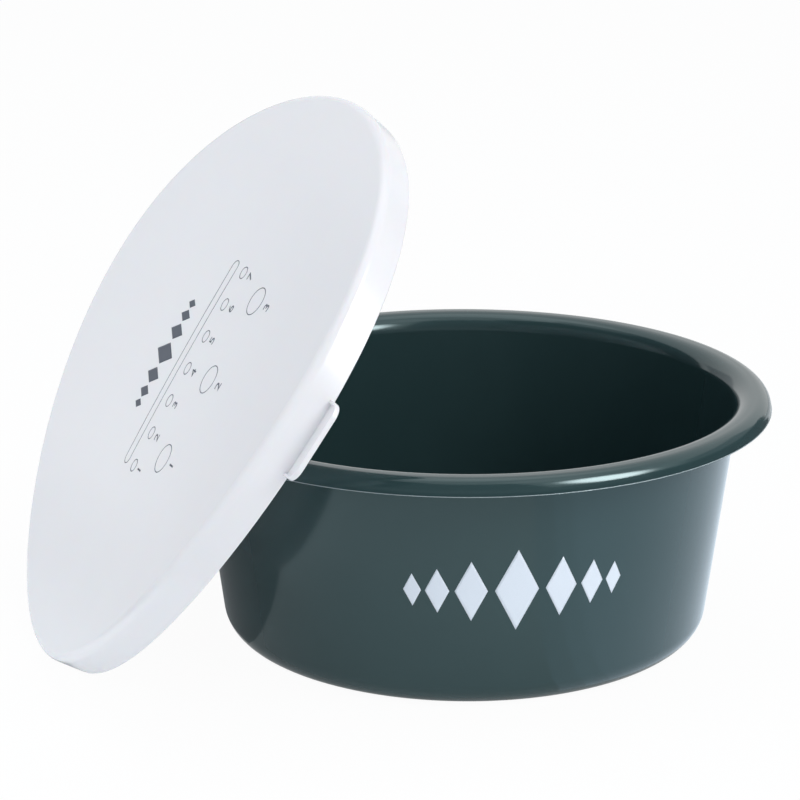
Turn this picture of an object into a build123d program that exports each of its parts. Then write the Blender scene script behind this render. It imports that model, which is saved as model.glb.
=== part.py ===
from build123d import *
import math
import os

# Round plastic feed bowl with a rolled rim, and its press-fit lid. Sizes are in millimetres.
# The bowl stands on Z = 0 with its axis on Z. The lid is off, as in use: it leans on the
# rim from the -X side, with its skirt on the table and its printed face outwards.

# Bowl
rim_radius = 160.0      # axis to the outer edge of the rolled rim
rim_width = 17.1        # outside of the wall to the rim's outer edge
rim_drop = 8.1          # crest of the rim down to the free edge of its lip
bowl_height = 130.0     # table to the crest of the rim
bowl_wall = 2.5         # wall and rolled rim
floor_thickness = 3.4   # floor, heavier than the wall
wall_draft = 7.5        # degrees that the wall leans outwards
foot_corner = 13.9      # outside radius between wall and floor
crest_land = 0.4        # narrow flat along the crest
lip_straight = 0.9      # upright end of the lip, below the roll
lip_bevel = 0.6         # bevel on the outside of the lip's edge

# Lid, in its own frame: height 0 is the edge of the skirt
lid_height = 17.6       # edge of the skirt to the printed face
lid_wall = 2.0          # plate and skirt
rim_clearance = 0.6     # skirt to rim, all round, just under the plate
skirt_flare = 1.0       # how much wider the skirt is at its edge than under the plate
lid_shoulder = 4.6      # outside radius between plate and skirt
skirt_edge_round = 0.6  # radius on the outside of the skirt's edge

# Snap bead inside the skirt, which holds under the lip of the rim
snap_depth = 0.8        # rim's outer edge to the bead's crest; the lip's bevel takes most of it
bead_half_height = 1.8  # half of the bead's height where it stands on the skirt
bead_half_land = 0.5    # half of the height of its flat crest, between two lead-in slopes
bead_gap = 0.3          # lip's edge down to the top of the bead's slope, lid on
bead_root = 0.3         # how deep the bead is set into the skirt

# Pull tab on the edge of the skirt
tab_length = 46.0       # along the skirt
tab_reach = 11.5        # out from the skirt's edge
tab_thickness = 2.6     # at its raised border
tab_corner = 7.0        # radius of its two outer corners
tab_border = 1.6        # width of the raised border
tab_well_depth = 0.9    # how far the finger rest lies below the border
tab_edge_round = 0.7    # radius on the outer edges
tab_bearing = 5.0       # degrees round the lid from its own X axis

# How the lid leans
lid_lean = 57.1         # degrees between the lid and the table
lid_aside = 21.0        # how far the lid stands to the +Y side of the rim's nearest point
lean_gap = 0.3          # lid's inner face to the rim

# Worked out from the above
draft_slope = math.tan(math.radians(wall_draft))
half_mouth_angle = math.radians(90 - wall_draft) / 2
lip_height = bowl_height - rim_drop
under_rim = bowl_height - bowl_wall
neck_radius = rim_radius - rim_width
wall_across = bowl_wall / math.cos(math.radians(wall_draft))


def wall_radius(height):
    """Outside radius of the drafted wall at a height above the table."""
    return neck_radius - (lip_height - height) * draft_slope


mouth_inner = wall_radius(bowl_height) - wall_across
roll_radius = rim_drop - lip_straight
roll_centre_height = bowl_height - roll_radius
mouth_round = (rim_radius - roll_radius - crest_land - mouth_inner) / math.tan(half_mouth_angle)

skirt_inner_top = rim_radius + rim_clearance
skirt_outer_top = skirt_inner_top + lid_wall
skirt_inner_edge = skirt_inner_top + skirt_flare
skirt_outer_edge = skirt_outer_top + skirt_flare
plate_inside = lid_height - lid_wall
bead_height = plate_inside - rim_drop - bead_gap - bead_half_height


def skirt_inside(height):
    """Inside radius of the flared skirt at a height above its edge."""
    return skirt_inner_edge - skirt_flare * height / plate_inside


# Bowl: one turned section, from the underside of the floor out under the rim, round the
# lip, over the crest and back down the inside
with BuildPart() as bowl:
    with BuildSketch(Plane.XZ):
        with BuildLine():
            skin = FilletPolyline(
                (0, 0),
                (wall_radius(0), 0),
                (wall_radius(under_rim), under_rim),
                (rim_radius - bowl_wall, under_rim),
                (rim_radius - bowl_wall, lip_height),
                (rim_radius - lip_bevel, lip_height),
                (rim_radius, lip_height + lip_bevel),
                (rim_radius, bowl_height),
                (mouth_inner, bowl_height),
                (wall_radius(floor_thickness) - wall_across, floor_thickness),
                (0, floor_thickness),
                radius=[
                    foot_corner,
                    mouth_round - bowl_wall,
                    roll_radius - bowl_wall,
                    0,
                    0,
                    0,
                    roll_radius,
                    mouth_round,
                    foot_corner - bowl_wall,
                ],
            )
            Line(skin @ 1, skin @ 0)
        make_face()
    revolve(axis=Axis.Z)

# Where the lid leans: its inner face just clears the rim's outer roll, and its lowest edge
# is on the table
lean = math.radians(lid_lean)
roll_centre_reach = (rim_radius - roll_radius) * math.sin(lean) + roll_centre_height * math.cos(lean)
face_reach = roll_centre_reach + roll_radius + lean_gap
edge_ring = skirt_outer_edge - skirt_edge_round
edge_rise = edge_ring * math.sin(lean) + skirt_edge_round * (1 - math.cos(lean))
edge_out = (face_reach - plate_inside - edge_rise * math.cos(lean)) / math.sin(lean)
lid_plane = Plane(
    origin=(-edge_out, lid_aside, edge_rise),
    x_dir=(0, -1, 0),
    z_dir=(-math.sin(lean), 0, math.cos(lean)),
)
lid_section = Plane(origin=lid_plane.origin, x_dir=lid_plane.x_dir, z_dir=-lid_plane.y_dir)

# Pull tab: a ledge with round corners and a finger rest, which stands out of the skirt's edge.
# Its inner end is cut to the round of the skirt, half a wall deep
lid_axis = Axis(lid_plane.origin, lid_plane.z_dir)
tab_plane = Plane(
    origin=lid_plane.origin,
    x_dir=lid_plane.x_dir.rotate(lid_axis, tab_bearing),
    z_dir=lid_plane.z_dir,
)
tab_end = skirt_outer_edge + tab_reach
tab_start = skirt_outer_edge - lid_wall - tab_corner
tab_middle = (tab_start + tab_end) / 2
with BuildPart() as tab:
    with BuildSketch(tab_plane):
        with Locations((tab_middle, 0)):
            RectangleRounded(tab_end - tab_start, tab_length, tab_corner)
    extrude(amount=tab_thickness)
    fillet(tab.faces().filter_by(tab_plane).edges(), tab_edge_round)
    with BuildSketch(tab_plane.offset(tab_thickness)):
        with Locations((tab_middle, 0)):
            RectangleRounded(
                tab_end - tab_start - 2 * tab_border,
                tab_length - 2 * tab_border,
                tab_corner - tab_border,
            )
    extrude(amount=-tab_well_depth, mode=Mode.SUBTRACT)
    with BuildSketch(tab_plane):
        Circle(skirt_outer_edge - lid_wall / 2)
    extrude(amount=tab_thickness, mode=Mode.SUBTRACT)

# Lid: plate and skirt are one turned section, with the snap bead inside the skirt, and the
# tab is moulded on
with BuildPart() as lid:
    with BuildSketch(lid_section):
        with BuildLine():
            shell = FilletPolyline(
                (0, lid_height),
                (skirt_outer_top, lid_height),
                (skirt_outer_edge, 0),
                (skirt_inner_edge, 0),
                (skirt_inner_top, plate_inside),
                (0, plate_inside),
                radius=[lid_shoulder, skirt_edge_round, 0, lid_shoulder - lid_wall],
            )
            Line(shell @ 1, shell @ 0)
        make_face()
        with BuildLine():
            bead_low = bead_height - bead_half_height
            bead_high = bead_height + bead_half_height
            bead_crest = rim_radius - snap_depth
            Polyline(
                (skirt_inside(bead_low) + bead_root, bead_low),
                (skirt_inside(bead_low), bead_low),
                (bead_crest, bead_height - bead_half_land),
                (bead_crest, bead_height + bead_half_land),
                (skirt_inside(bead_high), bead_high),
                (skirt_inside(bead_high) + bead_root, bead_high),
                close=True,
            )
        make_face()
    revolve(axis=lid_axis)
    add(tab.part)

os.makedirs("parts", exist_ok=True)
for name, piece in (("bowl", bowl), ("lid", lid)):
    piece.part.label = name
    export_step(piece.part, f"parts/{name}.step")
print("lid frame at", [round(value, 2) for value in lid_plane.origin])
print("skirt edge radius", skirt_outer_edge, "mouth round", round(mouth_round, 2))
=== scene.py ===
"""Studio scene of a round feed bowl with its press-fit lid off and leaning on the rim.

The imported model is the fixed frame: it gives the bowl's radius and height, the table level
and the two bodies. Both mouldings are modelled again here as fine turned meshes, because
glossy plastic shows every facet. The lid is bent as a shallow saddle over the rim, the form
whose outline came nearest to the photograph's.
Sizes are in millimetres until a mesh is finished, and in metres from there on.
"""

from __future__ import annotations

import logging
import math
from dataclasses import dataclass, field
from enum import Enum
from typing import Callable, Sequence

import bmesh
import bpy
from mathutils import Matrix, Vector


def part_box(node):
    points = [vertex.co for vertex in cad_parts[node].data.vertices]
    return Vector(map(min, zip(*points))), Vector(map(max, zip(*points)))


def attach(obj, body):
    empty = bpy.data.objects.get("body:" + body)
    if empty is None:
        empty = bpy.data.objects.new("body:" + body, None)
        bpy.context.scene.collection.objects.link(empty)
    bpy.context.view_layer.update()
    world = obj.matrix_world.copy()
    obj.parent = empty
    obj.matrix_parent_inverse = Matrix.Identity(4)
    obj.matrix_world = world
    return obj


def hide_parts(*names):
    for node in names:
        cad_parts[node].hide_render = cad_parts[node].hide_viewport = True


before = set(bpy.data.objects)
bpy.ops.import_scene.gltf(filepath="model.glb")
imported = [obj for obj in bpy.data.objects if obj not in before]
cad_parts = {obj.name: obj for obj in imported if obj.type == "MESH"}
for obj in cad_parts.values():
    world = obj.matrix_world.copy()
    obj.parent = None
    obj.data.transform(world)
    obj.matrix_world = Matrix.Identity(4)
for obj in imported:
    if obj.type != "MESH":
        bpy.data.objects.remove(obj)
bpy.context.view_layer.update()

LOG = logging.getLogger("feed_bowl")
MM = 0.001
WHITE = (1.0, 1.0, 1.0, 1.0)
TURNED_MERGE = 0.001
PRINT_MERGE = 0.002
RING_STEPS = 48
SLOT_END_STEPS = 12
SLOT_END_SHARE = 0.499
SLOT_RUN = 0.8

Socket = bpy.types.NodeSocket
Mesh = bpy.types.Mesh
Material = bpy.types.Material
Piece = bpy.types.Object
Point = tuple[float, float]
Colour = tuple[float, float, float]


class Body(Enum):
    """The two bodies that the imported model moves."""

    BOWL = "bowl"
    LID = "lid"


class Slot(Enum):
    """Names for the material slots."""

    BOWL = "bowl_plastic"
    LID = "lid_plastic"
    BOWL_PRINT = "bowl_print"
    LID_PRINT = "lid_print"


# Node trees


class NodeBench:
    """Adds nodes to one tree and links them."""

    def __init__(self, tree: bpy.types.NodeTree) -> None:
        """Clears the tree to build it from nothing.

        Args:
            tree: a material's or a modifier's node tree.
        """
        self.tree = tree
        tree.nodes.clear()

    def add(self, kind: str, inputs: dict | None = None, **settings: object) -> bpy.types.Node:
        """Adds one node.

        Args:
            kind: the node's type name.
            inputs: by socket name or number, either a value or the socket that feeds it.
            settings: the node's own properties.

        Returns:
            The new node.
        """
        node = self.tree.nodes.new(kind)
        for name, value in settings.items():
            setattr(node, name, value)
        for key, value in (inputs or {}).items():
            socket = node.inputs[key] if isinstance(key, int) else self._named(node, key)
            if isinstance(value, Socket):
                self.tree.links.new(value, socket)
            else:
                socket.default_value = value
        return node

    def out(self, kind: str, inputs: dict | None = None, **settings: object) -> Socket:
        """Adds one node as `add` does, and returns its first output."""
        return self.add(kind, inputs, **settings).outputs[0]

    @staticmethod
    def _named(node: bpy.types.Node, name: str) -> Socket:
        """The input of that name which the node's settings have switched on."""
        return next(socket for socket in node.inputs if socket.name == name and socket.enabled)

    def maths(self, operation: str, *values: object) -> Socket:
        """Adds a Math node, such as "ADD", whose inputs are numbers or sockets in order."""
        return self.out("ShaderNodeMath", dict(enumerate(values)), operation=operation)

    def vector(self, x: object = 0.0, y: object = 0.0, z: object = 0.0) -> Socket:
        """Puts three numbers or sockets into one vector."""
        return self.out("ShaderNodeCombineXYZ", {"X": x, "Y": y, "Z": z})

    def ranged(
        self,
        value: Socket,
        low: float,
        high: float,
        start: float = 0.0,
        end: float = 1.0,
        **settings: object,
    ) -> Socket:
        """Maps a value from one range to another.

        Args:
            value: the value.
            low: what it becomes at the start.
            high: what it becomes at the end.
            start: the least that it is now.
            end: the most that it is now.
            settings: the node's own properties.

        Returns:
            The mapped value.
        """
        sides = {"From Min": start, "From Max": end, "To Min": low, "To Max": high}
        return self.out("ShaderNodeMapRange", {"Value": value, **sides}, **settings)

    def noise(self, place: Socket, size: float, detail: float) -> Socket:
        """Adds an even noise from 0 to 1, with cells of that many millimetres."""
        inputs = {"Vector": place, "Scale": 1 / (size * MM), "Detail": detail}
        return self.out("ShaderNodeTexNoise", inputs)

    def bump(self, height: Socket, rise: float, under: Socket | None = None) -> Socket:
        """Adds a bump.

        Args:
            height: the height's pattern, from 0 to 1.
            rise: how many millimetres high it is.
            under: the normal of the bump that it lies on, if there is one.

        Returns:
            The bumped normal.
        """
        inputs = {"Strength": 1.0, "Distance": rise * MM, "Height": height}
        if under is not None:
            inputs["Normal"] = under
        return self.out("ShaderNodeBump", inputs)


def new_material(name: str) -> tuple[Material, NodeBench]:
    """Makes an empty material.

    Args:
        name: its name.

    Returns:
        The material, and the bench of its node tree.
    """
    material = bpy.data.materials.new(name)
    material.use_nodes = True
    return material, NodeBench(material.node_tree)


# Finishes


@dataclass(frozen=True)
class MouldedPlastic:
    """Injection-moulded plastic with a soft gloss.

    The surface has the faint orange peel of a polished mould, long shallow waves where the
    wall shrank, and a slight unevenness of gloss. `rubbed` adds the fine marks that stacking
    leaves on the inside of a bowl. Beyond the radius given in millimetres, the plastic is paler,
    a painted highlight line along the flash at the lip's lower edge, and rougher; 0 leaves that out.
    """

    name: str
    colour: Colour
    roughness: float
    gloss_spread: float
    peel_height: float
    wave_height: float
    tint_spread: float
    peel_size: float = 1.4
    wave_size: float = 60.0
    ior: float = 1.45
    gloss_tint: Colour = (1.0, 1.0, 1.0)
    translucency: float = 0.0
    scatter_depth: float = 2.0
    rubbed: bool = False
    rub_size: float = 1.6
    rub_stretch: tuple[float, float, float] = (0.10, 0.10, 1.0)
    rub_range: Point = (0.60, 0.85)
    rub_roughness: float = 0.10
    # A painted highlight: paler colour beyond this radius, on the flash at the lip's lower edge.
    trim_radius: float = 0.0
    trim_colour: Colour = (0.0, 0.0, 0.0)
    trim_roughness: float = 0.45

    def material(self) -> Material:
        """Builds the material.

        Returns:
            The material.
        """
        material, bench = new_material(self.name)
        place = bench.add("ShaderNodeTexCoord").outputs["Object"]
        broad = bench.noise(place, self.wave_size, 2.0)
        fine = bench.noise(place, self.peel_size, 1.0)
        tint = bench.ranged(broad, 1 - self.tint_spread, 1 + self.tint_spread)
        tone = bench.out("ShaderNodeVectorMath", {0: self.colour, "Scale": tint}, operation="SCALE")
        gloss = bench.ranged(
            broad, self.roughness - self.gloss_spread, self.roughness + self.gloss_spread
        )
        if self.rubbed:
            gloss = bench.maths("ADD", gloss, self._rub_marks(bench, place))
        if self.trim_radius > 0:
            tone, gloss = self._trimmed(bench, place, tone, gloss)
        waves = bench.bump(broad, self.wave_height)
        shader = bench.out(
            "ShaderNodeBsdfPrincipled",
            {
                "Base Color": tone,
                "Roughness": gloss,
                "IOR": self.ior,
                "Specular Tint": (*self.gloss_tint, 1.0),
                "Subsurface Weight": self.translucency,
                "Subsurface Scale": self.scatter_depth * MM,
                "Normal": bench.bump(fine, self.peel_height, waves),
            },
        )
        bench.add("ShaderNodeOutputMaterial", {"Surface": shader})
        return material

    def _trimmed(
        self,
        bench: NodeBench,
        place: Socket,
        tone: Socket,
        gloss: Socket,
    ) -> tuple[Socket, Socket]:
        """Paints the plastic paler beyond the radius, a painted highlight line along the flash at the
        lip's lower edge, and makes it rougher there.

        Args:
            bench: the material's bench.
            place: the coordinates.
            tone: the plastic's colour.
            gloss: its roughness.

        Returns:
            The colour with the painted highlight, and the roughness.
        """
        flat = bench.out(
            "ShaderNodeVectorMath", {0: place, 1: (1.0, 1.0, 0.0)}, operation="MULTIPLY"
        )
        reach = bench.add("ShaderNodeVectorMath", {0: flat}, operation="LENGTH").outputs["Value"]
        outside = bench.maths("GREATER_THAN", reach, self.trim_radius * MM)
        highlighted = bench.add(
            "ShaderNodeMix",
            {"Factor": outside, "A": tone, "B": (*self.trim_colour, 1.0)},
            data_type="RGBA",
        )
        rougher = bench.maths("MULTIPLY", outside, self.trim_roughness)
        return highlighted.outputs["Result"], bench.maths("MAXIMUM", gloss, rougher)

    def _rub_marks(self, bench: NodeBench, place: Socket) -> Socket:
        """Adds short faint marks along the wall.

        Args:
            bench: the material's bench.
            place: the coordinates.

        Returns:
            What to add to the roughness.
        """
        inputs = {"Vector": place, "Scale": self.rub_stretch}
        marks = bench.noise(bench.out("ShaderNodeMapping", inputs), self.rub_size, 4.0)
        return bench.ranged(marks, 0.0, self.rub_roughness, *self.rub_range)


@dataclass(frozen=True)
class ScreenInk:
    """A thin opaque layer of printing ink, with the fine grain of the screen."""

    name: str
    colour: Colour
    roughness: float = 0.42
    grain_size: float = 0.25
    grain_height: float = 0.006
    grain_tint: float = 0.06

    def material(self) -> Material:
        """Builds the material.

        Returns:
            The material.
        """
        material, bench = new_material(self.name)
        place = bench.add("ShaderNodeTexCoord").outputs["Object"]
        grain = bench.noise(place, self.grain_size, 1.0)
        shade = bench.ranged(grain, 1 - self.grain_tint, 1 + self.grain_tint)
        tone = bench.out(
            "ShaderNodeVectorMath", {0: self.colour, "Scale": shade}, operation="SCALE"
        )
        shader = bench.out(
            "ShaderNodeBsdfPrincipled",
            {
                "Base Color": tone,
                "Roughness": self.roughness,
                "Normal": bench.bump(grain, self.grain_height),
            },
        )
        bench.add("ShaderNodeOutputMaterial", {"Surface": shader})
        return material


DARK_GREEN_PLASTIC = MouldedPlastic(
    name="dark_green_plastic",
    colour=(0.0225, 0.0470, 0.0500),
    roughness=0.12,
    gloss_spread=0.02,
    peel_height=0.004,
    wave_height=0.10,
    tint_spread=0.06,
    ior=1.55,
    gloss_tint=(0.78, 0.97, 1.0),
    rubbed=True,
    # The pale colour beyond 160.06 mm, on the flash at the lip's lower edge, is a painted highlight
    # line.
    trim_radius=160.06,
    trim_colour=(0.26, 0.31, 0.33),
)
PALE_PLASTIC = MouldedPlastic(
    name="pale_plastic",
    colour=(0.80, 0.803, 0.832),
    roughness=0.18,
    gloss_spread=0.04,
    peel_height=0.004,
    wave_height=0.10,
    tint_spread=0.01,
    translucency=0.12,
)
BLUE_WHITE_INK = ScreenInk("blue_white_ink", (0.72, 0.79, 0.88))
SLATE_INK = ScreenInk("slate_ink", (0.085, 0.10, 0.13))


# Outlines


def rounded_outline(
    corners: Sequence[Point], radii: Sequence[float], run: float, steps: int = 12
) -> list[Point]:
    """Rounds the inner corners of a row of straight lines.

    Args:
        corners: the corners, in order.
        radii: the radius at each corner but the first and the last.
        run: the longest step along a straight stretch.
        steps: how many steps a right angle's arc has.

    Returns:
        The points of the outline.
    """
    stops: list[list[Vector]] = [[Vector(corners[0])]]
    for before, corner, after, radius in zip(corners, corners[1:], corners[2:], radii):
        here = Vector(corner)
        back = (Vector(before) - here).normalized()
        ahead = (Vector(after) - here).normalized()
        half = back.angle(ahead) / 2
        centre = here + (back + ahead).normalized() * (radius / math.sin(half))
        start = here + back * (radius / math.tan(half)) - centre
        sweep = math.pi - 2 * half
        turn = sweep if start.y * back.x - start.x * back.y > 0 else -sweep
        count = max(2, round(steps * sweep / (math.pi / 2)))
        arc = []
        for step in range(count + 1):
            angle = turn * step / count
            cosine, sine = math.cos(angle), math.sin(angle)
            spoke = Vector((start.x * cosine - start.y * sine, start.x * sine + start.y * cosine))
            arc.append(centre + spoke)
        stops.append(arc)
    stops.append([Vector(corners[-1])])
    outline: list[Point] = []
    for arc, following in zip(stops, stops[1:]):
        outline.extend(tuple(point) for point in arc)
        outline.extend(straight_run(arc[-1], following[0], run))
    outline.append(tuple(stops[-1][-1]))
    return outline


def straight_run(start: Vector, end: Vector, run: float, holding: float = 0.5) -> list[Point]:
    """Divides a straight stretch, with a point close to each end that keeps its shading flat.

    Args:
        start: where it starts.
        end: where it ends.
        run: the longest step.
        holding: how far the first and last points lie from its ends.

    Returns:
        The points between its ends.
    """
    length = (end - start).length
    if length < 4 * holding:
        return []
    inner = length - 2 * holding
    count = max(1, math.ceil(inner / run))
    ahead = (end - start).normalized()
    return [
        tuple(start + ahead * (holding + inner * step / count)) for step in range(count + 1)
    ]


# Meshes


def mesh_object(name: str, mesh: Mesh) -> Piece:
    """Puts a mesh in the scene, at the origin.

    Args:
        name: the piece's name.
        mesh: its mesh.

    Returns:
        The object.
    """
    piece = bpy.data.objects.new(name, mesh)
    bpy.context.scene.collection.objects.link(piece)
    return piece


def outline_mesh(name: str, outline: Sequence[Point]) -> Mesh:
    """Makes a mesh of points and edges from an outline in the XZ plane.

    Args:
        name: the mesh's name.
        outline: distances from the axis and heights, in millimetres.

    Returns:
        The mesh, in metres.
    """
    mesh = bpy.data.meshes.new(name)
    points = [(radius * MM, 0.0, height * MM) for radius, height in outline]
    mesh.from_pydata(points, [(i, i + 1) for i in range(len(points) - 1)], [])
    return mesh


def shaped(mesh: Mesh, shape: Callable[[Vector], Vector]) -> None:
    """Moves every point of a mesh.

    Args:
        mesh: the mesh, in metres.
        shape: gives a point's new place.
    """
    for vertex in mesh.vertices:
        vertex.co = shape(vertex.co)
    mesh.update()


def applied(piece: Piece) -> Mesh:
    """The mesh that an object's modifiers make of it.

    Args:
        piece: the object, which is removed.

    Returns:
        A mesh of its own.
    """
    graph = bpy.context.evaluated_depsgraph_get()
    mesh = bpy.data.meshes.new_from_object(piece.evaluated_get(graph), depsgraph=graph)
    mesh.name = piece.name
    bpy.data.objects.remove(piece)
    return mesh


# Geometry node trees


class RuleTree:
    """A geometry node tree with named inputs, which ends in Realize Instances and Set Material."""

    def __init__(self, name: str, sizes: dict[str, float | int]) -> None:
        """Starts the tree.

        Args:
            name: the tree's name.
            sizes: its inputs and their usual values.
        """
        self.tree = bpy.data.node_groups.new(name, "GeometryNodeTree")
        self.bench = NodeBench(self.tree)
        sides = self.tree.interface
        sides.new_socket("Geometry", in_out="INPUT", socket_type="NodeSocketGeometry")
        self.keys: dict[str, str] = {}
        for label, usual in sizes.items():
            kind = "NodeSocketInt" if isinstance(usual, int) else "NodeSocketFloat"
            socket = sides.new_socket(label, in_out="INPUT", socket_type=kind)
            socket.default_value = usual
            self.keys[label] = socket.identifier
        finish = sides.new_socket("Finish", in_out="INPUT", socket_type="NodeSocketMaterial")
        self.keys["Finish"] = finish.identifier
        sides.new_socket("Geometry", in_out="OUTPUT", socket_type="NodeSocketGeometry")
        self.inputs = self.bench.add("NodeGroupInput").outputs

    def close(self, geometry: Socket) -> None:
        """Ends the tree.

        Args:
            geometry: what it has made.
        """
        real = self.bench.add("GeometryNodeRealizeInstances", {"Geometry": geometry})
        smooth = self.bench.add("GeometryNodeSetShadeSmooth", {"Geometry": real.outputs[0]})
        dressed = self.bench.add(
            "GeometryNodeSetMaterial",
            {"Geometry": smooth.outputs[0], "Material": self.inputs["Finish"]},
        )
        self.bench.add("NodeGroupOutput", {0: dressed.outputs[0]})

    def make(self, name: str, base: Mesh, finish: Material, sizes: dict[str, float | int]) -> Mesh:
        """Runs the tree once.

        Args:
            name: the name of the mesh it makes.
            base: the mesh that it starts from.
            finish: the material that it gives.
            sizes: values for its inputs, by name.

        Returns:
            A plain mesh.
        """
        piece = mesh_object(name, base)
        modifier = piece.modifiers.new("rule", "NODES")
        modifier.node_group = self.tree
        for label, value in sizes.items():
            modifier[self.keys[label]] = value
        modifier[self.keys["Finish"]] = finish
        return applied(piece)


def turning_tree() -> RuleTree:
    """A tree that turns a section of points about Z.

    Returns:
        The tree. Its base mesh is the section, and its input is the number of steps round.
    """
    rule = RuleTree("turned_section", {"Steps": 240})
    bench = rule.bench
    steps, section = rule.inputs["Steps"], rule.inputs["Geometry"]
    count = bench.out("GeometryNodeAttributeDomainSize", {"Geometry": section})
    columns = bench.maths("ADD", steps, 1)
    sheet = bench.out(
        "GeometryNodeMeshGrid",
        {"Size X": 1.0, "Size Y": 1.0, "Vertices X": columns, "Vertices Y": count},
    )
    index = bench.out("GeometryNodeInputIndex")
    column = bench.maths("FLOOR", bench.maths("DIVIDE", bench.maths("ADD", index, 0.5), count))
    row = bench.maths("SUBTRACT", index, bench.maths("MULTIPLY", column, count))
    angle = bench.maths("MULTIPLY", bench.maths("DIVIDE", column, steps), math.tau)
    position = bench.out("GeometryNodeInputPosition")
    sample = bench.out(
        "GeometryNodeSampleIndex",
        {"Geometry": section, "Value": position, "Index": row},
        data_type="FLOAT_VECTOR",
    )
    parts = bench.add("ShaderNodeSeparateXYZ", {0: sample}).outputs
    place = bench.vector(
        bench.maths("MULTIPLY", parts["X"], bench.maths("COSINE", angle)),
        bench.maths("MULTIPLY", parts["X"], bench.maths("SINE", angle)),
        parts["Z"],
    )
    turned = bench.out("GeometryNodeSetPosition", {"Geometry": sheet, "Position": place})
    rule.close(
        bench.out("GeometryNodeMergeByDistance", {"Geometry": turned, "Distance": TURNED_MERGE * MM})
    )
    return rule


def ribbon(bench: NodeBench, curve: Socket, width: Socket) -> Socket:
    """Lays a flat printed line along a curve in the XY plane.

    Args:
        bench: the tree's bench.
        curve: the curve.
        width: the line's width.

    Returns:
        The line's mesh.
    """
    half = bench.maths("MULTIPLY", width, 0.5)
    ends = {"Start": bench.vector(bench.maths("MULTIPLY", half, -1)), "End": bench.vector(half)}
    profile = bench.out("GeometryNodeCurvePrimitiveLine", ends)
    upright = bench.out("GeometryNodeSetCurveNormal", {"Curve": curve}, mode="Z_UP")
    return bench.out("GeometryNodeCurveToMesh", {"Curve": upright, "Profile Curve": profile})


def row_of_points(bench: NodeBench, count: object, pitch: object) -> Socket:
    """Lays points in a row along X, with its middle at the origin.

    Args:
        bench: the tree's bench.
        count: how many.
        pitch: from one to the next.

    Returns:
        The points, as a mesh.
    """
    half = bench.maths("MULTIPLY", bench.maths("SUBTRACT", count, 1), -0.5)
    start = bench.vector(bench.maths("MULTIPLY", half, pitch))
    inputs = {"Count": count, "Start Location": start, "Offset": bench.vector(pitch)}
    return bench.out("GeometryNodeMeshLine", inputs)


def ring_row_tree() -> RuleTree:
    """A tree for a row of printed rings.

    Returns:
        The tree. Its inputs are the count, pitch, diameter and line width.
    """
    rule = RuleTree("ring_row", {"Count": 7, "Pitch": 0.019, "Diameter": 0.007, "Line": 0.0004})
    bench = rule.bench
    radius = bench.maths("MULTIPLY", rule.inputs["Diameter"], 0.5)
    circle = bench.out("GeometryNodeCurvePrimitiveCircle", {"Resolution": RING_STEPS, "Radius": radius})
    ring = ribbon(bench, circle, rule.inputs["Line"])
    points = row_of_points(bench, rule.inputs["Count"], rule.inputs["Pitch"])
    rule.close(bench.out("GeometryNodeInstanceOnPoints", {"Points": points, "Instance": ring}))
    return rule


def slot_outline_tree() -> RuleTree:
    """A tree for the outline of a long slot with round ends.

    Returns:
        The tree. Its inputs are the length, height and line width.
    """
    rule = RuleTree("slot_outline", {"Length": 0.12, "Height": 0.006, "Line": 0.0004})
    bench = rule.bench
    height = rule.inputs["Height"]
    box = bench.out(
        "GeometryNodeCurvePrimitiveQuadrilateral",
        {"Width": rule.inputs["Length"], "Height": height},
    )
    end_radius = bench.maths("MULTIPLY", height, SLOT_END_SHARE)
    ends = bench.out(
        "GeometryNodeFilletCurve",
        {"Curve": box, "Count": SLOT_END_STEPS, "Radius": end_radius},
        mode="POLY",
    )
    even = bench.out(
        "GeometryNodeResampleCurve", {"Curve": ends, "Length": SLOT_RUN * MM}, mode="LENGTH"
    )
    rule.close(ribbon(bench, even, rule.inputs["Line"]))
    return rule


def lozenge_row_tree() -> RuleTree:
    """A tree for a row of lozenges that grow smaller from the middle outwards.

    Returns:
        The tree. Its inputs are the count, the middle one's width and height, the pitch from
        it to the next, how much each is smaller than the last, and how finely each is divided.
    """
    rule = RuleTree(
        "lozenge_row",
        {"Count": 7, "Width": 0.022, "Height": 0.044, "Pitch": 0.0226, "Shrink": 0.74, "Cells": 10},
    )
    bench, sizes = rule.bench, rule.inputs
    points = row_of_points(bench, sizes["Count"], 1.0)
    position = bench.out("GeometryNodeInputPosition")
    along = bench.add("ShaderNodeSeparateXYZ", {0: position}).outputs["X"]
    shrunk = bench.maths("POWER", sizes["Shrink"], bench.maths("ABSOLUTE", along))
    left_over = bench.maths("SUBTRACT", 1, sizes["Shrink"])
    reach = bench.maths("DIVIDE", bench.maths("SUBTRACT", 1, shrunk), left_over)
    far = bench.maths("MULTIPLY", reach, sizes["Pitch"])
    offset = bench.maths("MULTIPLY", far, bench.maths("SIGN", along))
    cells = bench.maths("ADD", sizes["Cells"], 1)
    side = math.sqrt(0.5)
    square = bench.out(
        "GeometryNodeMeshGrid",
        {"Size X": side, "Size Y": side, "Vertices X": cells, "Vertices Y": cells},
    )
    lozenge = bench.out(
        "GeometryNodeTransform",
        {"Geometry": square, "Rotation": (0.0, 0.0, math.radians(45))},
    )
    width, height = (bench.maths("MULTIPLY", shrunk, sizes[key]) for key in ("Width", "Height"))
    held = bench.out(
        "GeometryNodeStoreNamedAttribute",
        {"Geometry": points, "Name": "size", "Value": bench.vector(width, height, 1.0)},
        data_type="FLOAT_VECTOR",
    )
    spread = bench.out(
        "GeometryNodeSetPosition", {"Geometry": held, "Position": bench.vector(offset)}
    )
    size = bench.out("GeometryNodeInputNamedAttribute", {"Name": "size"}, data_type="FLOAT_VECTOR")
    row = {"Points": spread, "Instance": lozenge, "Scale": size}
    rule.close(bench.out("GeometryNodeInstanceOnPoints", row))
    return rule


# Flat prints


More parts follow.
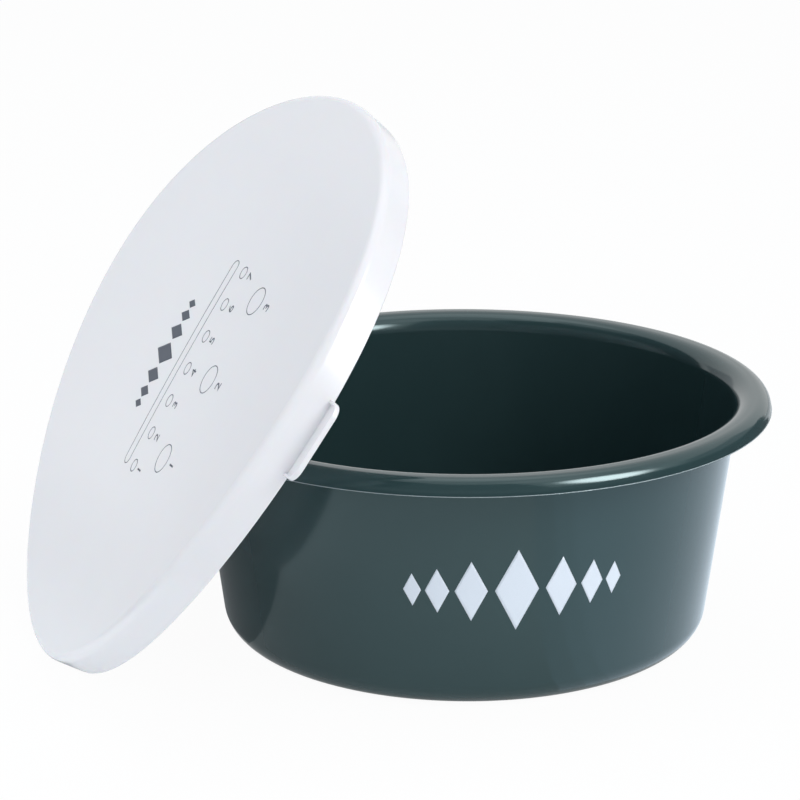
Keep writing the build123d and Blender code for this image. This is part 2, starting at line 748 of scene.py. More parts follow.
def numeral_mesh(number: int, height: float, widen: float) -> Mesh:
    """Makes a plain printed numeral, flat in the XY plane and centred on the origin.

    Args:
        number: the number.
        height: its height.
        widen: how much wider it is drawn than the plain typeface.

    Returns:
        The mesh.
    """
    curve = bpy.data.curves.new(f"numeral_{number}", "FONT")
    curve.body = str(number)
    curve.size = 1.0
    text = bpy.data.objects.new(curve.name, curve)
    bpy.context.scene.collection.objects.link(text)
    mesh = applied(text)
    corners = [vertex.co for vertex in mesh.vertices]
    low = Vector(min(corner[axis] for corner in corners) for axis in range(3))
    high = Vector(max(corner[axis] for corner in corners) for axis in range(3))
    size = height / (high.y - low.y)
    middle = (low + high) / 2
    shaped(
        mesh,
        lambda point: Vector(
            ((point.x - middle.x) * size * widen, (point.y - middle.y) * size, 0.0)
        ),
    )
    return mesh


def moved(mesh: Mesh, right: float, up: float) -> Mesh:
    """Moves a flat mesh some millimetres within its plane and returns it."""
    shaped(mesh, lambda point: point + Vector((right * MM, up * MM, 0.0)))
    return mesh


def joined(name: str, meshes: Sequence[Mesh]) -> Mesh:
    """Puts several meshes into one.

    Args:
        name: the name of the new mesh.
        meshes: the meshes, which are removed.

    Returns:
        The new mesh.
    """
    work = bmesh.new()
    for mesh in meshes:
        work.from_mesh(mesh)
    whole = bpy.data.meshes.new(name)
    work.to_mesh(whole)
    work.free()
    for mesh in meshes:
        bpy.data.meshes.remove(mesh)
    return whole


def faced_outwards(mesh: Mesh) -> Mesh:
    """Turns a closed mesh's faces outwards and shades it smooth.

    Args:
        mesh: the mesh.

    Returns:
        The same mesh.
    """
    work = bmesh.new()
    work.from_mesh(mesh)
    bmesh.ops.recalc_face_normals(work, faces=work.faces)
    if work.calc_volume(signed=True) < 0:
        bmesh.ops.reverse_faces(work, faces=work.faces)
    for face in work.faces:
        face.smooth = True
    work.to_mesh(mesh)
    work.free()
    return mesh


@dataclass(frozen=True)
class InkFilm:
    """How thick a printed film is, and how deep its lower side is set into the plastic."""

    proud: float = 0.05
    sunk: float = 0.03

    def build(
        self,
        name: str,
        flat: Mesh,
        place: Callable[[float, float, float], Vector],
        finish: Material,
    ) -> Piece:
        """Lays a flat print on a surface.

        Args:
            name: the piece's name.
            flat: the print in the XY plane, in metres.
            place: gives the place of a point of the print that stands some way off the
                surface; it takes and gives millimetres.
            finish: the ink.

        Returns:
            The printed piece.
        """
        work = bmesh.new()
        work.from_mesh(flat)
        bmesh.ops.remove_doubles(work, verts=work.verts, dist=PRINT_MERGE * MM)
        for face in work.faces:
            if face.normal.z < 0:
                face.normal_flip()
        upper = list(work.verts)
        faces = list(work.faces)
        edges = [edge for edge in work.edges if edge.is_boundary]
        lower = {vertex: work.verts.new(vertex.co) for vertex in upper}
        for face in faces:
            work.faces.new([lower[vertex] for vertex in reversed(face.verts)])
        for edge in edges:
            start, end = edge.link_loops[0].vert, edge.link_loops[0].link_loop_next.vert
            work.faces.new((end, start, lower[start], lower[end]))
        for vertex, below in lower.items():
            right, up = vertex.co.x / MM, vertex.co.y / MM
            vertex.co = place(right, up, self.proud) * MM
            below.co = place(right, up, -self.sunk) * MM
        mesh = bpy.data.meshes.new(name)
        work.to_mesh(mesh)
        work.free()
        mesh.materials.clear()
        mesh.materials.append(finish)
        bpy.data.meshes.remove(flat)
        return mesh_object(name, mesh)


@dataclass(frozen=True)
class Workshop:
    """What the pieces are made with: four rule trees and the film of ink."""

    turning: RuleTree
    lozenges: RuleTree
    rings: RuleTree
    outlines: RuleTree
    film: InkFilm


# Bowl


@dataclass
class Bowl:
    """The bowl, a turned shell with a rolled rim, and the ornament printed on its wall."""

    rim_radius: float
    height: float
    rim_width: float = 17.1
    rim_drop: float = 8.1
    wall: float = 2.5
    floor: float = 3.4
    draft: float = 7.5
    foot_corner: float = 13.9
    crest_land: float = 2.6
    lip_straight: float = 0.9
    lip_edge: float = 0.5
    flash_reach: float = 0.30
    flash_height: float = 0.40
    flash_edge: float = 0.05
    steps: int = 320
    longest_run: float = 8.0
    ornament_bearing: float = -99.1
    ornament_height: float = 65.3
    ornament_size: dict[str, float | int] = field(
        default_factory=lambda: {
            "Count": 7,
            "Width": 22.0 * MM,
            "Height": 44.0 * MM,
            "Pitch": 22.6 * MM,
            "Shrink": 0.74,
            "Cells": 12,
        }
    )

    @property
    def slope(self) -> float:
        """How far the wall leans out for each millimetre of height."""
        return math.tan(math.radians(self.draft))

    @property
    def roll_radius(self) -> float:
        """Outside radius of the rolled rim."""
        return self.rim_drop - self.lip_straight

    @property
    def roll_centre(self) -> Point:
        """Centre of the roll: its distance from the axis and its height."""
        return self.rim_radius - self.roll_radius, self.height - self.roll_radius

    def wall_radius(self, height: float) -> float:
        """Outside radius of the wall at a height above the table, in millimetres."""
        lip_height = self.height - self.rim_drop
        return self.rim_radius - self.rim_width - (lip_height - height) * self.slope

    def section(self) -> list[Point]:
        """The section that is turned.

        Returns:
            Its points, from the underside's centre round the rim to the inside's.
        """
        across = self.wall / math.cos(math.radians(self.draft))
        lip_height = self.height - self.rim_drop
        under_rim = self.height - self.wall
        lip_inner = self.rim_radius - self.wall
        mouth = self.wall_radius(self.height) - across
        half_mouth = math.radians(90 - self.draft) / 2
        mouth_round = (self.roll_centre[0] - self.crest_land - mouth) / math.tan(half_mouth)
        corners = [
            (0.0, 0.0),
            (self.wall_radius(0), 0.0),
            (self.wall_radius(under_rim), under_rim),
            (lip_inner, under_rim),
            (lip_inner, lip_height),
            (self.rim_radius + self.flash_reach, lip_height),
            (self.rim_radius + self.flash_reach, lip_height + self.flash_height - self.flash_reach),
            (self.rim_radius, lip_height + self.flash_height),
            (self.rim_radius, self.height),
            (mouth, self.height),
            (self.wall_radius(self.floor) - across, self.floor),
            (0.0, self.floor),
        ]
        radii = [
            self.foot_corner,
            mouth_round - self.wall,
            self.roll_radius - self.wall,
            self.lip_edge,
            self.flash_edge,
            self.flash_edge,
            self.flash_edge,
            self.roll_radius,
            mouth_round,
            self.foot_corner - self.wall,
        ]
        return rounded_outline(corners, radii, self.longest_run)

    def shell(self, turning: RuleTree, finish: Material) -> Piece:
        """Turns the shell.

        Args:
            turning: the tree that turns a section.
            finish: the plastic.

        Returns:
            The shell.
        """
        section = outline_mesh("bowl_section", self.section())
        mesh = turning.make("bowl_shell", section, finish, {"Steps": self.steps})
        return mesh_object("bowl_shell", faced_outwards(mesh))

    def on_wall(self, right: float, up: float, proud: float) -> Vector:
        """Wraps a point of the flat ornament round the wall.

        Args:
            right: how far to the right of the ornament's middle it is.
            up: how far up the wall.
            proud: how far off the wall.

        Returns:
            Its place in the scene, in millimetres.
        """
        lean = math.radians(self.draft)
        height = self.ornament_height + up * math.cos(lean) - proud * math.sin(lean)
        middle = self.wall_radius(self.ornament_height)
        bearing = math.radians(self.ornament_bearing) + right / middle
        surface = self.wall_radius(self.ornament_height + up * math.cos(lean))
        reach = surface + proud * math.cos(lean)
        return Vector((reach * math.cos(bearing), reach * math.sin(bearing), height))

    def build(self, shop: Workshop, plastic: Material, ink: Material) -> list[Piece]:
        """Builds the bowl and its row of lozenges, and ties them to the frame.

        Args:
            shop: what the pieces are made with.
            plastic: the bowl's finish.
            ink: the print's finish.

        Returns:
            Its pieces.
        """
        shell = self.shell(shop.turning, plastic)
        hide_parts("bowl")
        base = bpy.data.meshes.new("ornament_base")
        flat = shop.lozenges.make("bowl_ornament_flat", base, ink, self.ornament_size)
        ornament = shop.film.build("bowl_ornament", flat, self.on_wall, ink)
        pieces = [shell, ornament]
        for piece in pieces:
            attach(piece, Body.BOWL.value)
        return pieces


# Lid


@dataclass
class PullTab:
    """The tab on the edge of the lid's skirt, a ledge with a raised border and a finger rest."""

    length: float = 42.0
    reach: float = 12.3
    thickness: float = 2.6
    corner: float = 7.0
    border: float = 1.6
    well_depth: float = 1.4
    edge_round: float = 0.7
    bearing: float = 7.0
    root: float = 1.9
    corner_steps: int = 10
    side_steps: int = 24
    arc_steps: int = 5
    top_round: float = 0.35
    under_hold: float = 0.4
    well_hold: float = 0.8
    middle_inset: float = 4.0
    least_corner: float = 0.3

    def section(self) -> list[Point]:
        """The rings of the tab, from the underside round to the finger rest.

        Returns:
            How far in each lies from the outline, and how high.
        """
        well = self.thickness - self.well_depth
        low, top = self.edge_round, self.top_round
        stack: list[Point] = [(self.middle_inset, 0.0), (low + self.under_hold, 0.0)]
        arcs = (
            (0.0, 0.0, low, low),
            (0.0, self.thickness, top, -top),
            (self.border, self.thickness, -top, -top),
            (self.border, well, top, top),
        )
        for number, (inset, height, inwards, upwards) in enumerate(arcs):
            for step in range(self.arc_steps + 1):
                angle = math.pi / 2 * step / self.arc_steps
                shares = (1 - math.sin(angle), 1 - math.cos(angle))
                first, second = shares if number % 2 == 0 else reversed(shares)
                stack.append((inset + inwards * first, height + upwards * second))
        stack.extend([(self.border + self.well_hold, well), (self.middle_inset, well)])
        return stack

    def ring(self, inset: float, height: float, skirt_radius: float) -> list[Vector]:
        """One closed ring of the tab's outline.

        Args:
            inset: how far in from the outline it runs.
            height: its height above the skirt's edge.
            skirt_radius: the skirt's outer radius at its edge.

        Returns:
            Its points in the lid's own frame, in millimetres.
        """
        inner, outer = inset, self.root + self.reach - inset
        half = self.length / 2 - inset
        radius = max(self.corner - inset, self.least_corner)
        plan: list[Point] = []
        for middle_y, first in ((-half + radius, -math.pi / 2), (half - radius, 0.0)):
            for step in range(self.corner_steps + 1):
                angle = first + math.pi / 2 * step / self.corner_steps
                plan.append(
                    (
                        outer - radius + radius * math.cos(angle),
                        middle_y + radius * math.sin(angle),
                    )
                )
        for step in range(self.side_steps + 1):
            plan.append((inner, half - 2 * half * step / self.side_steps))
        bearing = math.radians(self.bearing)
        root_radius = skirt_radius - self.root
        points = []
        for out, along in plan:
            share = out / (self.root + self.reach)
            follow = math.sqrt(root_radius**2 - along**2)
            reach = out + follow * (1 - share) + root_radius * share
            points.append(
                Vector(
                    (
                        reach * math.cos(bearing) - along * math.sin(bearing),
                        reach * math.sin(bearing) + along * math.cos(bearing),
                        height,
                    )
                )
            )
        return points

    def mesh(self, skirt_radius: float) -> Mesh:
        """Builds the tab.

        Args:
            skirt_radius: the skirt's outer radius at its edge.

        Returns:
            A closed mesh in the lid's own frame, in metres.
        """
        work = bmesh.new()
        rings = [
            [work.verts.new(point * MM) for point in self.ring(inset, height, skirt_radius)]
            for inset, height in self.section()
        ]
        count = len(rings[0])
        for lower, upper in zip(rings, rings[1:]):
            for step in range(count):
                after = (step + 1) % count
                work.faces.new((lower[step], lower[after], upper[after], upper[step]))
        work.faces.new(list(reversed(rings[0])))
        work.faces.new(rings[-1])
        mesh = bpy.data.meshes.new("lid_pull_tab")
        work.to_mesh(mesh)
        work.free()
        return mesh


@dataclass
class Lid:
    """The lid, a turned plate and skirt with its bead and tab, leaning on the bowl's rim."""

    bowl: Bowl
    tab: PullTab
    height: float = 17.6
    wall: float = 2.0
    rim_clearance: float = 0.6
    skirt_flare: float = 1.0
    shoulder: float = 4.6
    edge_round: float = 0.6
    bead_depth: float = 0.8
    bead_half_height: float = 1.8
    bead_half_land: float = 0.5
    bead_gap: float = 0.3
    bead_round: float = 0.4
    lean: float = 57.13
    aside: float = 21.3
    lean_gap: float = 0.3
    sag: float = 9.2
    sag_bearing: float = -18.1
    sag_slip: float = 1.50
    sag_sink: float = 0.10
    skirt_roll: float = 2.37
    steps: int = 320
    longest_run: float = 6.0

    @property
    def skirt_radius(self) -> float:
        """Outer radius of the skirt at its edge."""
        return self.bowl.rim_radius + self.rim_clearance + self.wall + self.skirt_flare

    def section(self) -> list[Point]:
        """The section that is turned.

        Returns:
            Its points, from the centre of the printed face round the skirt's edge.
        """
        inside = self.height - self.wall
        inner_top = self.bowl.rim_radius + self.rim_clearance
        inner_edge = inner_top + self.skirt_flare
        middle = inside - self.bowl.rim_drop - self.bead_gap - self.bead_half_height
        low, high = middle - self.bead_half_height, middle + self.bead_half_height
        crest = self.bowl.rim_radius - self.bead_depth

        def inner(height: float) -> float:
            """Inside radius of the skirt at a height above its edge."""
            return inner_edge - self.skirt_flare * height / inside

        corners = [
            (0.0, self.height),
            (inner_top + self.wall, self.height),
            (self.skirt_radius, 0.0),
            (inner_edge, 0.0),
            (inner(low), low),
            (crest, middle - self.bead_half_land),
            (crest, middle + self.bead_half_land),
            (inner(high), high),
            (inner_top, inside),
            (0.0, inside),
        ]
        edges = [self.edge_round] * 2 + [self.bead_round] * 4
        radii = [self.shoulder, *edges, self.shoulder - self.wall]
        return rounded_outline(corners, radii, self.longest_run)

    def placed(self, point: Vector) -> Vector:
        """Bends the lid over the rim and leans it there.

        The plate takes the shape of a shallow saddle, and the skirt rolls with its slope.

        Args:
            point: a point in the lid's own frame, in millimetres.

        Returns:
            Its place in the scene, in millimetres.
        """
        turn = 2 * math.radians(self.sag_bearing)
        cosine, sine = math.cos(turn), math.sin(turn)
        slope_x = 2 * (point.x * cosine + point.y * sine) * self.sag / self.skirt_radius**2
        slope_y = 2 * (point.x * sine - point.y * cosine) * self.sag / self.skirt_radius**2
        bend = (point.x * slope_x + point.y * slope_y) / 2
        lever = self.skirt_roll * (self.height - self.wall / 2 - point.z)
        across, along, out, origin = self._seat()
        return (
            origin
            + across * (point.x + lever * slope_x)
            + along * (point.y + lever * slope_y)
            + out * (point.z + bend)
        )

    def _seat(self) -> tuple[Vector, Vector, Vector, Vector]:
        """Where the lid leans.

        Returns:
            Its own X, Y and Z directions, and its origin.
        """
        lean = math.radians(self.lean)
        sine, cosine = math.sin(lean), math.cos(lean)
        reach, height = self.bowl.roll_centre
        face = reach * sine + height * cosine + self.bowl.roll_radius + self.lean_gap
        ring = self.skirt_radius - self.edge_round
        rise = ring * sine + self.edge_round * (1 - cosine)
        foot = (face - (self.height - self.wall) - rise * cosine) / sine
        across = Vector((0.0, -1.0, 0.0))
        out = Vector((-sine, 0.0, cosine))
        along = out.cross(across)
        origin = Vector((-foot, self.aside, rise)) + along * self.sag_slip - out * self.sag_sink
        return across, along, out, origin

    def seated(self, mesh: Mesh) -> Mesh:
        """Seats a mesh that is in the lid's own frame, and returns it."""
        shaped(mesh, lambda point: self.placed(point / MM) * MM)
        return mesh

    def build(self, shop: Workshop, plastic: Material) -> list[Piece]:
        """Builds the lid and ties its pieces to the frame.

        Args:
            shop: what the pieces are made with.
            plastic: the lid's finish.

        Returns:
            Its pieces.
        """
        section = outline_mesh("lid_section", self.section())
        turned = shop.turning.make("lid_shell", section, plastic, {"Steps": self.steps})
        shell = mesh_object("lid_shell", faced_outwards(self.seated(turned)))
        tab_mesh = faced_outwards(self.seated(self.tab.mesh(self.skirt_radius)))
        tab_mesh.materials.append(plastic)
        tab = mesh_object("lid_pull_tab", tab_mesh)
        for piece in (shell, tab):
            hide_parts("lid")
            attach(piece, Body.LID.value)
        return [shell, tab]


@dataclass(frozen=True)
class MarkRow:
    """A row of printed rings with a numeral under each, in millimetres."""

    name: str
    middle: Point
    count: int
    pitch: float
    ring: float
    figure: float
    drop: float


@dataclass
class FeedingChart:
    """The chart printed on the lid: a name bar, seven day marks, three meal marks, an ornament.

    Places are right and up from the lid's centre, for a reader who holds the lid with its tab
    below, in millimetres.
    """

    lid: Lid
    bearing: float = 3.4
    line: float = 0.50
    bar: Point = (2.5, 6.0)
    bar_size: Point = (119.5, 7.0)
    days: MarkRow = MarkRow("day_marks", (1.6, -8.5), 7, 18.89, 6.7, 5.4, 10.4)
    meals: MarkRow = MarkRow("meal_marks", (3.5, -43.3), 3, 45.7, 15.4, 5.8, 16.6)
    figure_widen: float = 1.25
    ornament: Point = (1.1, 31.2)
    ornament_scale: float = 0.572

    def on_plate(self, right: float, up: float, proud: float) -> Vector:
        """Lays a point of the chart on the printed face.

        Args:
            right: how far to the right of the lid's centre it is.
            up: how far up.
            proud: how far off the face.

        Returns:
            Its place in the scene, in millimetres.
        """
        turn = math.radians(self.bearing)
        across = -right * math.sin(turn) - up * math.cos(turn)
        along = right * math.cos(turn) - up * math.sin(turn)
        return self.lid.placed(Vector((across, along, self.lid.height + proud)))

    def row(self, rings: RuleTree, marks: MarkRow, ink: Material) -> list[Mesh]:
        """Draws a row of marks.

        Args:
            rings: the tree that makes a row of rings.
            marks: the row.
            ink: its finish.

        Returns:
            The row's meshes, flat.
        """
        sizes = {
            "Count": marks.count,
            "Pitch": marks.pitch * MM,
            "Diameter": marks.ring * MM,
            "Line": self.line * MM,
        }
        right, up = marks.middle
        base = bpy.data.meshes.new(marks.name)
        parts = [moved(rings.make(marks.name, base, ink, sizes), right, up)]
        for index in range(marks.count):
            numeral = numeral_mesh(index + 1, marks.figure * MM, self.figure_widen)
            offset = (index - (marks.count - 1) / 2) * marks.pitch
            parts.append(moved(numeral, right + offset, up - marks.drop))
        return parts

    def build(self, shop: Workshop, ink: Material) -> list[Piece]:
        """Prints the chart and ties it to the frame.

        Args:
            shop: what the pieces are made with.
            ink: the print's finish.

        Returns:
            Its pieces.
        """
        length, height = self.bar_size
        bar = shop.outlines.make(
            "name_bar",
            bpy.data.meshes.new("name_bar_base"),
            ink,
            {"Length": length * MM, "Height": height * MM, "Line": self.line * MM},
        )
        days, meals = (self.row(shop.rings, marks, ink) for marks in (self.days, self.meals))
        sizes = {
            name: value * self.ornament_scale if name in ("Width", "Height", "Pitch") else value
            for name, value in self.lid.bowl.ornament_size.items()
        }
        base = bpy.data.meshes.new("lid_ornament_base")
        motif = shop.lozenges.make("lid_ornament", base, ink, sizes)
        flats = {
            "lid_name_bar": [moved(bar, *self.bar)],
            "lid_day_marks": days,
            "lid_meal_marks": meals,
            "lid_ornament": [moved(motif, *self.ornament)],
        }
        pieces = []
        for name, meshes in flats.items():
            piece = shop.film.build(name, joined(name, meshes), self.on_plate, ink)
            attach(piece, Body.LID.value)
            pieces.append(piece)
        return pieces


# Studio


@dataclass(frozen=True)
class SoftBox:
    """A square or oblong lamp that faces the object.

    Its bearing and elevation are read as for the camera: 0 is in front, and 90 is on the
    right. The object's gloss shows the cards instead.
    """

    name: str
    bearing: float
    elevation: float
    distance: float
    width: float
    height: float
    power: float
    colour: Colour = (1.0, 1.0, 1.0)


@dataclass(frozen=True)
class GlossCard:
    """A glowing card with a soft edge, which only the object's gloss shows.

    Its light is level out to `core`, a share of its half width, and fades from there.
    """

    name: str
    bearing: float
    elevation: float
    distance: float
    width: float
    height: float
    glow: float
    core: float = 0.35
    colour: Colour = (1.0, 0.99, 0.98)


@dataclass(frozen=True)
class Cloth:
    """A glowing sheet that lies on the floor round the object and hangs up behind it.

    It is a painted reflection: it glows with a set colour, darker or lighter, in place of shaded or lit
    surroundings. It runs from one bearing to another. Only the object's gloss shows it.
    """

    name: str
    start: float
    end: float
    inner: float
    outer: float
    height: float
    colour: Colour
    steps: int = 72
    above_floor: float = 0.001

    def mesh(self) -> Mesh:
        """Builds the sheet, a band on the floor and a wall.

        Returns:
            Its mesh.
        """
        low = self.above_floor
        profile = [(self.inner, low), (self.outer, low), (self.outer, self.height)]
        points, faces = [], []
        for step in range(self.steps + 1):
            bearing = self.start + (self.end - self.start) * step / self.steps
            ahead = heading(bearing, 0.0)
            points.extend(ahead * reach + Vector((0.0, 0.0, rise)) for reach, rise in profile)
        for step in range(self.steps):
            for row in range(len(profile) - 1):
                first = step * len(profile) + row
                after = first + len(profile)
                faces.append((first, after, after + 1, first + 1))
        mesh = bpy.data.meshes.new(self.name)
        mesh.from_pydata(points, [], faces)
        return mesh


def heading(bearing: float, elevation: float) -> Vector:
    """The direction from the object towards something that stands round it.

    Args:
        bearing: degrees from the front, positive to the right.
        elevation: degrees above the horizon.

    Returns:
        A unit vector.
    """
    turn, rise = math.radians(bearing), math.radians(elevation)
    return Vector(
        (math.sin(turn) * math.cos(rise), -math.cos(turn) * math.cos(rise), math.sin(rise))
    )


def rectangle(name: str, half_width: float, half_height: float, material: Material) -> Piece:
    """Makes a flat rectangle in the XY plane, centred on the origin.

    Args:
        name: its name.
        half_width: half of its size along X, in metres.
        half_height: half of its size along Y.
        material: its finish.

    Returns:
        The rectangle.
    """
    mesh = bpy.data.meshes.new(name)
    signs = ((-1, -1), (1, -1), (1, 1), (-1, 1))
    corners = [(across * half_width, up * half_height, 0.0) for across, up in signs]
    mesh.from_pydata(corners, [], [(0, 1, 2, 3)])
    mesh.materials.append(material)
    return mesh_object(name, mesh)


@dataclass
class Studio:
    """The camera, the lamps, what only the gloss shows, the white surroundings and the floor."""

    camera_bearing: float = -18.8
    camera_elevation: float = 16.85
    camera_distance: float = 1.5503
    camera_roll: float = -0.126
    target: tuple[float, float, float] = (-0.0324, 0.0110, 0.12195)
    lens: float = 132.6
    sensor: float = 36.0
    floor_half_width: float = 6.0
    floor_colour: Colour = (0.88, 0.92, 0.95)
    floor_glow: float = 0.96
    floor_glow_in_gloss: float = 0.30
    floor_glow_in_bounce: float = 0.30
    surroundings: Colour = (0.90, 0.95, 1.0)
    surroundings_light: float = 0.35
    # Glowing sheets that only the gloss shows: painted reflections, dark ones for dark surroundings and
    # lighter ones for lit floor and walls.
    cloths: tuple[Cloth, ...] = (
        Cloth("table_left", -134.0, -62.0, 0.50, 1.30, 0.55, (0.05, 0.055, 0.06)),
        Cloth("table_front", -62.0, 46.0, 0.33, 1.30, 0.02, (0.17, 0.185, 0.20)),
        Cloth("table_right", 46.0, 118.0, 0.35, 1.30, 0.45, (0.10, 0.11, 0.12)),
        Cloth("back_floor", -182.0, -134.0, 0.50, 4.00, 0.01, (0.68, 0.69, 0.71)),
        # lid_shade is a painted shade: a dark sheet by the bowl's foot under the lid, which the bowl's
        # wall mirrors as the shaded floor and the lid's underside.
        Cloth("lid_shade", -135.0, -86.0, 0.128, 0.228, 0.01, (0.19, 0.20, 0.21)),
        Cloth("back_panel", -182.0, -155.4, 1.34, 1.35, 0.58, (0.58, 0.59, 0.61)),
        Cloth("low_wall", -62.0, 66.0, 1.31, 1.32, 0.55, (0.32, 0.34, 0.36)),
        # The sheen sheets are a painted reflection: floor beside the bowl glowing brighter than white,
        # which the bowl's right wall mirrors as a light band.
        Cloth("sheen_start", 3.0, 10.0, 0.125, 0.325, 0.01, (0.82, 0.90, 0.98)),
        Cloth("sheen_rise", 10.0, 17.0, 0.125, 0.325, 0.01, (0.90, 1.02, 1.13)),
        Cloth("sheen", 17.0, 130.0, 0.125, 0.325, 0.01, (0.98, 1.12, 1.26)),
        Cloth("side_flag", -148.0, -45.0, 1.40, 1.42, 4.20, (0.08, 0.09, 0.10)),
        Cloth("front_flag", -45.0, 9.0, 1.40, 1.42, 3.30, (0.24, 0.26, 0.28)),
        Cloth("right_flag", 66.0, 112.0, 1.40, 1.42, 0.95, (0.42, 0.45, 0.47)),
    )
    cards: tuple[GlossCard, ...] = (
        GlossCard("key_card", 38.5, 35.5, 2.1, 1.36, 1.72, 16.5, 0.42),
        GlossCard("overhead_card", 175.0, 73.0, 1.9, 3.0, 1.5, 0.8),
        GlossCard("front_overhead_card", 44.0, 68.0, 1.9, 1.3, 0.9, 0.5),
    )
    lamps: tuple[SoftBox, ...] = (
        SoftBox("key", 37.5, 38.0, 2.1, 1.1, 1.0, 19.0, (1.0, 0.99, 0.98)),
        SoftBox("overhead", 140.0, 80.0, 2.8, 2.4, 2.4, 31.4, (0.96, 0.97, 1.0)),
        SoftBox("fill", -98.0, 16.0, 2.0, 1.6, 1.3, 14.9, (0.97, 0.99, 1.0)),
        SoftBox("front_fill", -8.0, 8.0, 2.2, 2.2, 1.0, 10.0, (1.0, 0.99, 0.99)),
    )

    def camera(self) -> None:
        """Sets up the camera at the photograph's angle."""
        data = bpy.data.cameras.new("camera")
        data.sensor_width = self.sensor
        data.lens = self.lens
        camera = bpy.data.objects.new("camera", data)
        bpy.context.scene.collection.objects.link(camera)
        back = heading(self.camera_bearing, self.camera_elevation)
        camera.location = Vector(self.target) + back * self.camera_distance
        aim = (-back).to_track_quat("-Z", "Y").to_matrix()
        roll = Matrix.Rotation(math.radians(self.camera_roll), 3, "Z")
        camera.rotation_euler = (aim @ roll).to_euler()
        bpy.context.scene.camera = camera

    def light(self) -> None:
        """Hangs the lamps, which the object's gloss doesn't show."""
        for box in self.lamps:
            data = bpy.data.lights.new(box.name, "AREA")
            data.shape = "RECTANGLE"
            data.size = box.width
            data.size_y = box.height
            data.energy = box.power
            data.color = box.colour
            lamp = bpy.data.objects.new(box.name, data)
            lamp.visible_glossy = False
            bpy.context.scene.collection.objects.link(lamp)
            self.turn_in(lamp, box)

    def turn_in(self, piece: Piece, box: SoftBox | GlossCard) -> None:
        """Places a lamp or a card round the object and turns it to face the object.

        Args:
            piece: the lamp or card in the scene.
            box: where it goes.
        """
        back = heading(box.bearing, box.elevation)
        piece.location = Vector(self.target) + back * box.distance
        piece.rotation_euler = (-back).to_track_quat("-Z", "Y").to_euler()

    def show_in_gloss(self, card: GlossCard) -> None:
        """Hangs a glowing card, which only the object's gloss shows.

        Args:
            card: the card.
        """
        half_width, half_height = card.width / 2, card.height / 2
        material, bench = new_material(card.name)
        face = rectangle(card.name, half_width, half_height, material)
        self.turn_in(face, card)
        place = bench.add("ShaderNodeTexCoord").outputs["Object"]
        scale = (1 / half_width, 1 / half_height, 0.0)
        share = bench.out("ShaderNodeMapping", {"Vector": place, "Scale": scale})
        reach = bench.add("ShaderNodeVectorMath", {0: share}, operation="LENGTH").outputs["Value"]
        level = bench.ranged(
            reach, card.glow, 0.0, card.core, 1.0, interpolation_type="SMOOTHSTEP"
        )
        light = bench.out(
            "ShaderNodeEmission", {"Color": (*card.colour, 1.0), "Strength": level}
        )
        clear = bench.out("ShaderNodeBsdfTransparent")
        both = bench.out("ShaderNodeAddShader", {0: light, 1: clear})
        bench.add("ShaderNodeOutputMaterial", {"Surface": both})
        self.only_in_gloss(face)

    @staticmethod
    def only_in_gloss(piece: Piece) -> None:
        """Hides a piece of the studio from everything but the object's gloss.

        Args:
            piece: the piece.
        """
        for ray in ("camera", "diffuse", "transmission", "volume_scatter", "shadow"):
            setattr(piece, f"visible_{ray}", False)

    @staticmethod
    def seen_directly(bench: NodeBench, in_gloss: float = 1.0) -> Socket:
        """Tells whether a ray comes from the camera, or from gloss or glass.

        Args:
            bench: the bench of the tree that asks.
            in_gloss: what to give for gloss and glass.

        Returns:
            1 for the camera's rays, and `in_gloss` for glossy and transmission rays.
        """
        path = bench.add("ShaderNodeLightPath").outputs
        gloss = bench.maths("MAXIMUM", path["Is Glossy Ray"], path["Is Transmission Ray"])
        return bench.maths(
            "MAXIMUM", path["Is Camera Ray"], bench.maths("MULTIPLY", gloss, in_gloss)
        )

    def surround(self) -> None:
        """Makes the world, white where it is seen and softer as a light."""
        world = bpy.data.worlds.new("surroundings")
        world.use_nodes = True
        bench = NodeBench(world.node_tree)
        white = bench.out("ShaderNodeBackground", {"Color": WHITE, "Strength": 1.0})
        soft = bench.out(
            "ShaderNodeBackground",
            {"Color": (*self.surroundings, 1.0), "Strength": self.surroundings_light},
        )
        mix = bench.out("ShaderNodeMixShader", {0: self.seen_directly(bench), 1: soft, 2: white})
        bench.add("ShaderNodeOutputWorld", {"Surface": mix})
        bpy.context.scene.world = world

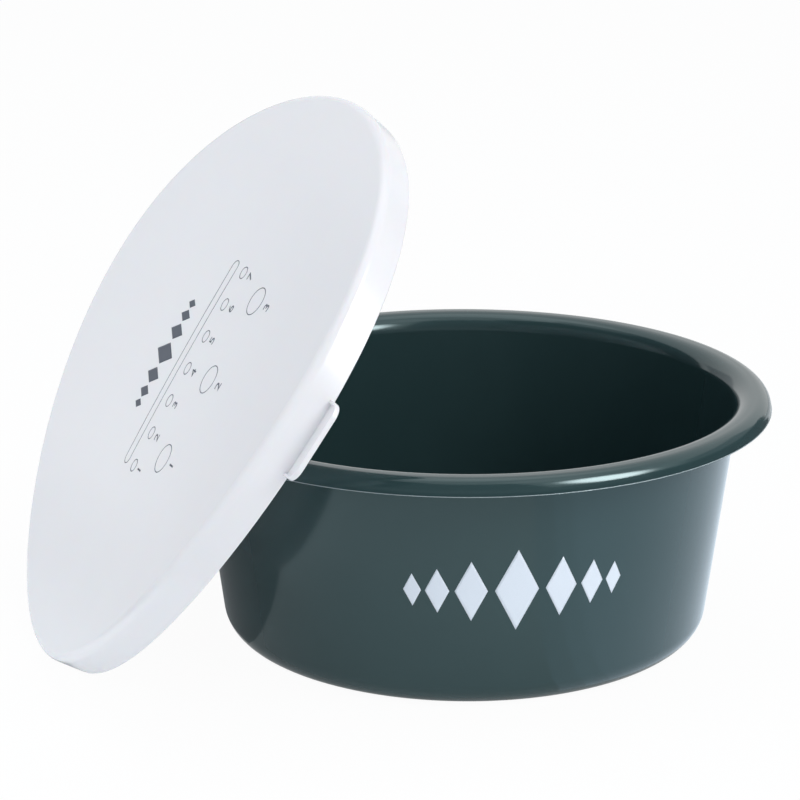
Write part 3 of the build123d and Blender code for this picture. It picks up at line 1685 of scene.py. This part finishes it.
    def floor(self) -> None:
        """Lays the floor, part of which glows white so that it meets the background."""
        material, bench = new_material("pale_floor")
        plain = bench.out("ShaderNodeBsdfDiffuse", {"Color": (*self.floor_colour, 1.0)})
        glow = bench.out("ShaderNodeEmission", {"Color": WHITE, "Strength": 1.0})
        in_gloss = self.floor_glow_in_gloss / self.floor_glow
        seen = bench.maths("MULTIPLY", self.seen_directly(bench, in_gloss), self.floor_glow)
        share = bench.maths("MAXIMUM", seen, self.floor_glow_in_bounce)
        mix = bench.out("ShaderNodeMixShader", {0: share, 1: plain, 2: glow})
        bench.add("ShaderNodeOutputMaterial", {"Surface": mix})
        half = self.floor_half_width
        rectangle("floor", half, half, material)

    def hang(self, reflection_sheet: Cloth) -> None:
        """Puts up a glowing sheet, a painted reflection, which only the object's gloss shows.

        Args:
            reflection_sheet: the sheet.
        """
        material, bench = new_material(reflection_sheet.name)
        # The sheet glows with its set colour: a painted reflection, not a lit cloth.
        reflection_glow = bench.out("ShaderNodeEmission", {"Color": (*reflection_sheet.colour, 1.0)})
        bench.add("ShaderNodeOutputMaterial", {"Surface": reflection_glow})
        mesh = reflection_sheet.mesh()
        mesh.materials.append(material)
        self.only_in_gloss(mesh_object(reflection_sheet.name, mesh))

    def build(self) -> None:
        """Sets up the whole studio."""
        bpy.context.scene.view_settings.view_transform = "Standard"
        self.camera()
        self.light()
        self.surround()
        self.floor()
        for reflection_sheet in self.cloths:
            self.hang(reflection_sheet)
        for card in self.cards:
            self.show_in_gloss(card)


def main() -> None:
    """Builds the bowl, the lid and the studio."""
    logging.basicConfig(level=logging.INFO, format="%(message)s")
    low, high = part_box("bowl")
    bowl = Bowl(rim_radius=(high[0] - low[0]) / 2 / MM, height=high[2] / MM)
    lid = Lid(bowl, PullTab())
    shop = Workshop(
        turning_tree(), lozenge_row_tree(), ring_row_tree(), slot_outline_tree(), InkFilm()
    )
    pieces = bowl.build(shop, DARK_GREEN_PLASTIC.material(), BLUE_WHITE_INK.material())
    pieces += lid.build(shop, PALE_PLASTIC.material())
    pieces += FeedingChart(lid).build(shop, SLATE_INK.material())
    Studio().build()


if __name__ == "__main__":
    main()
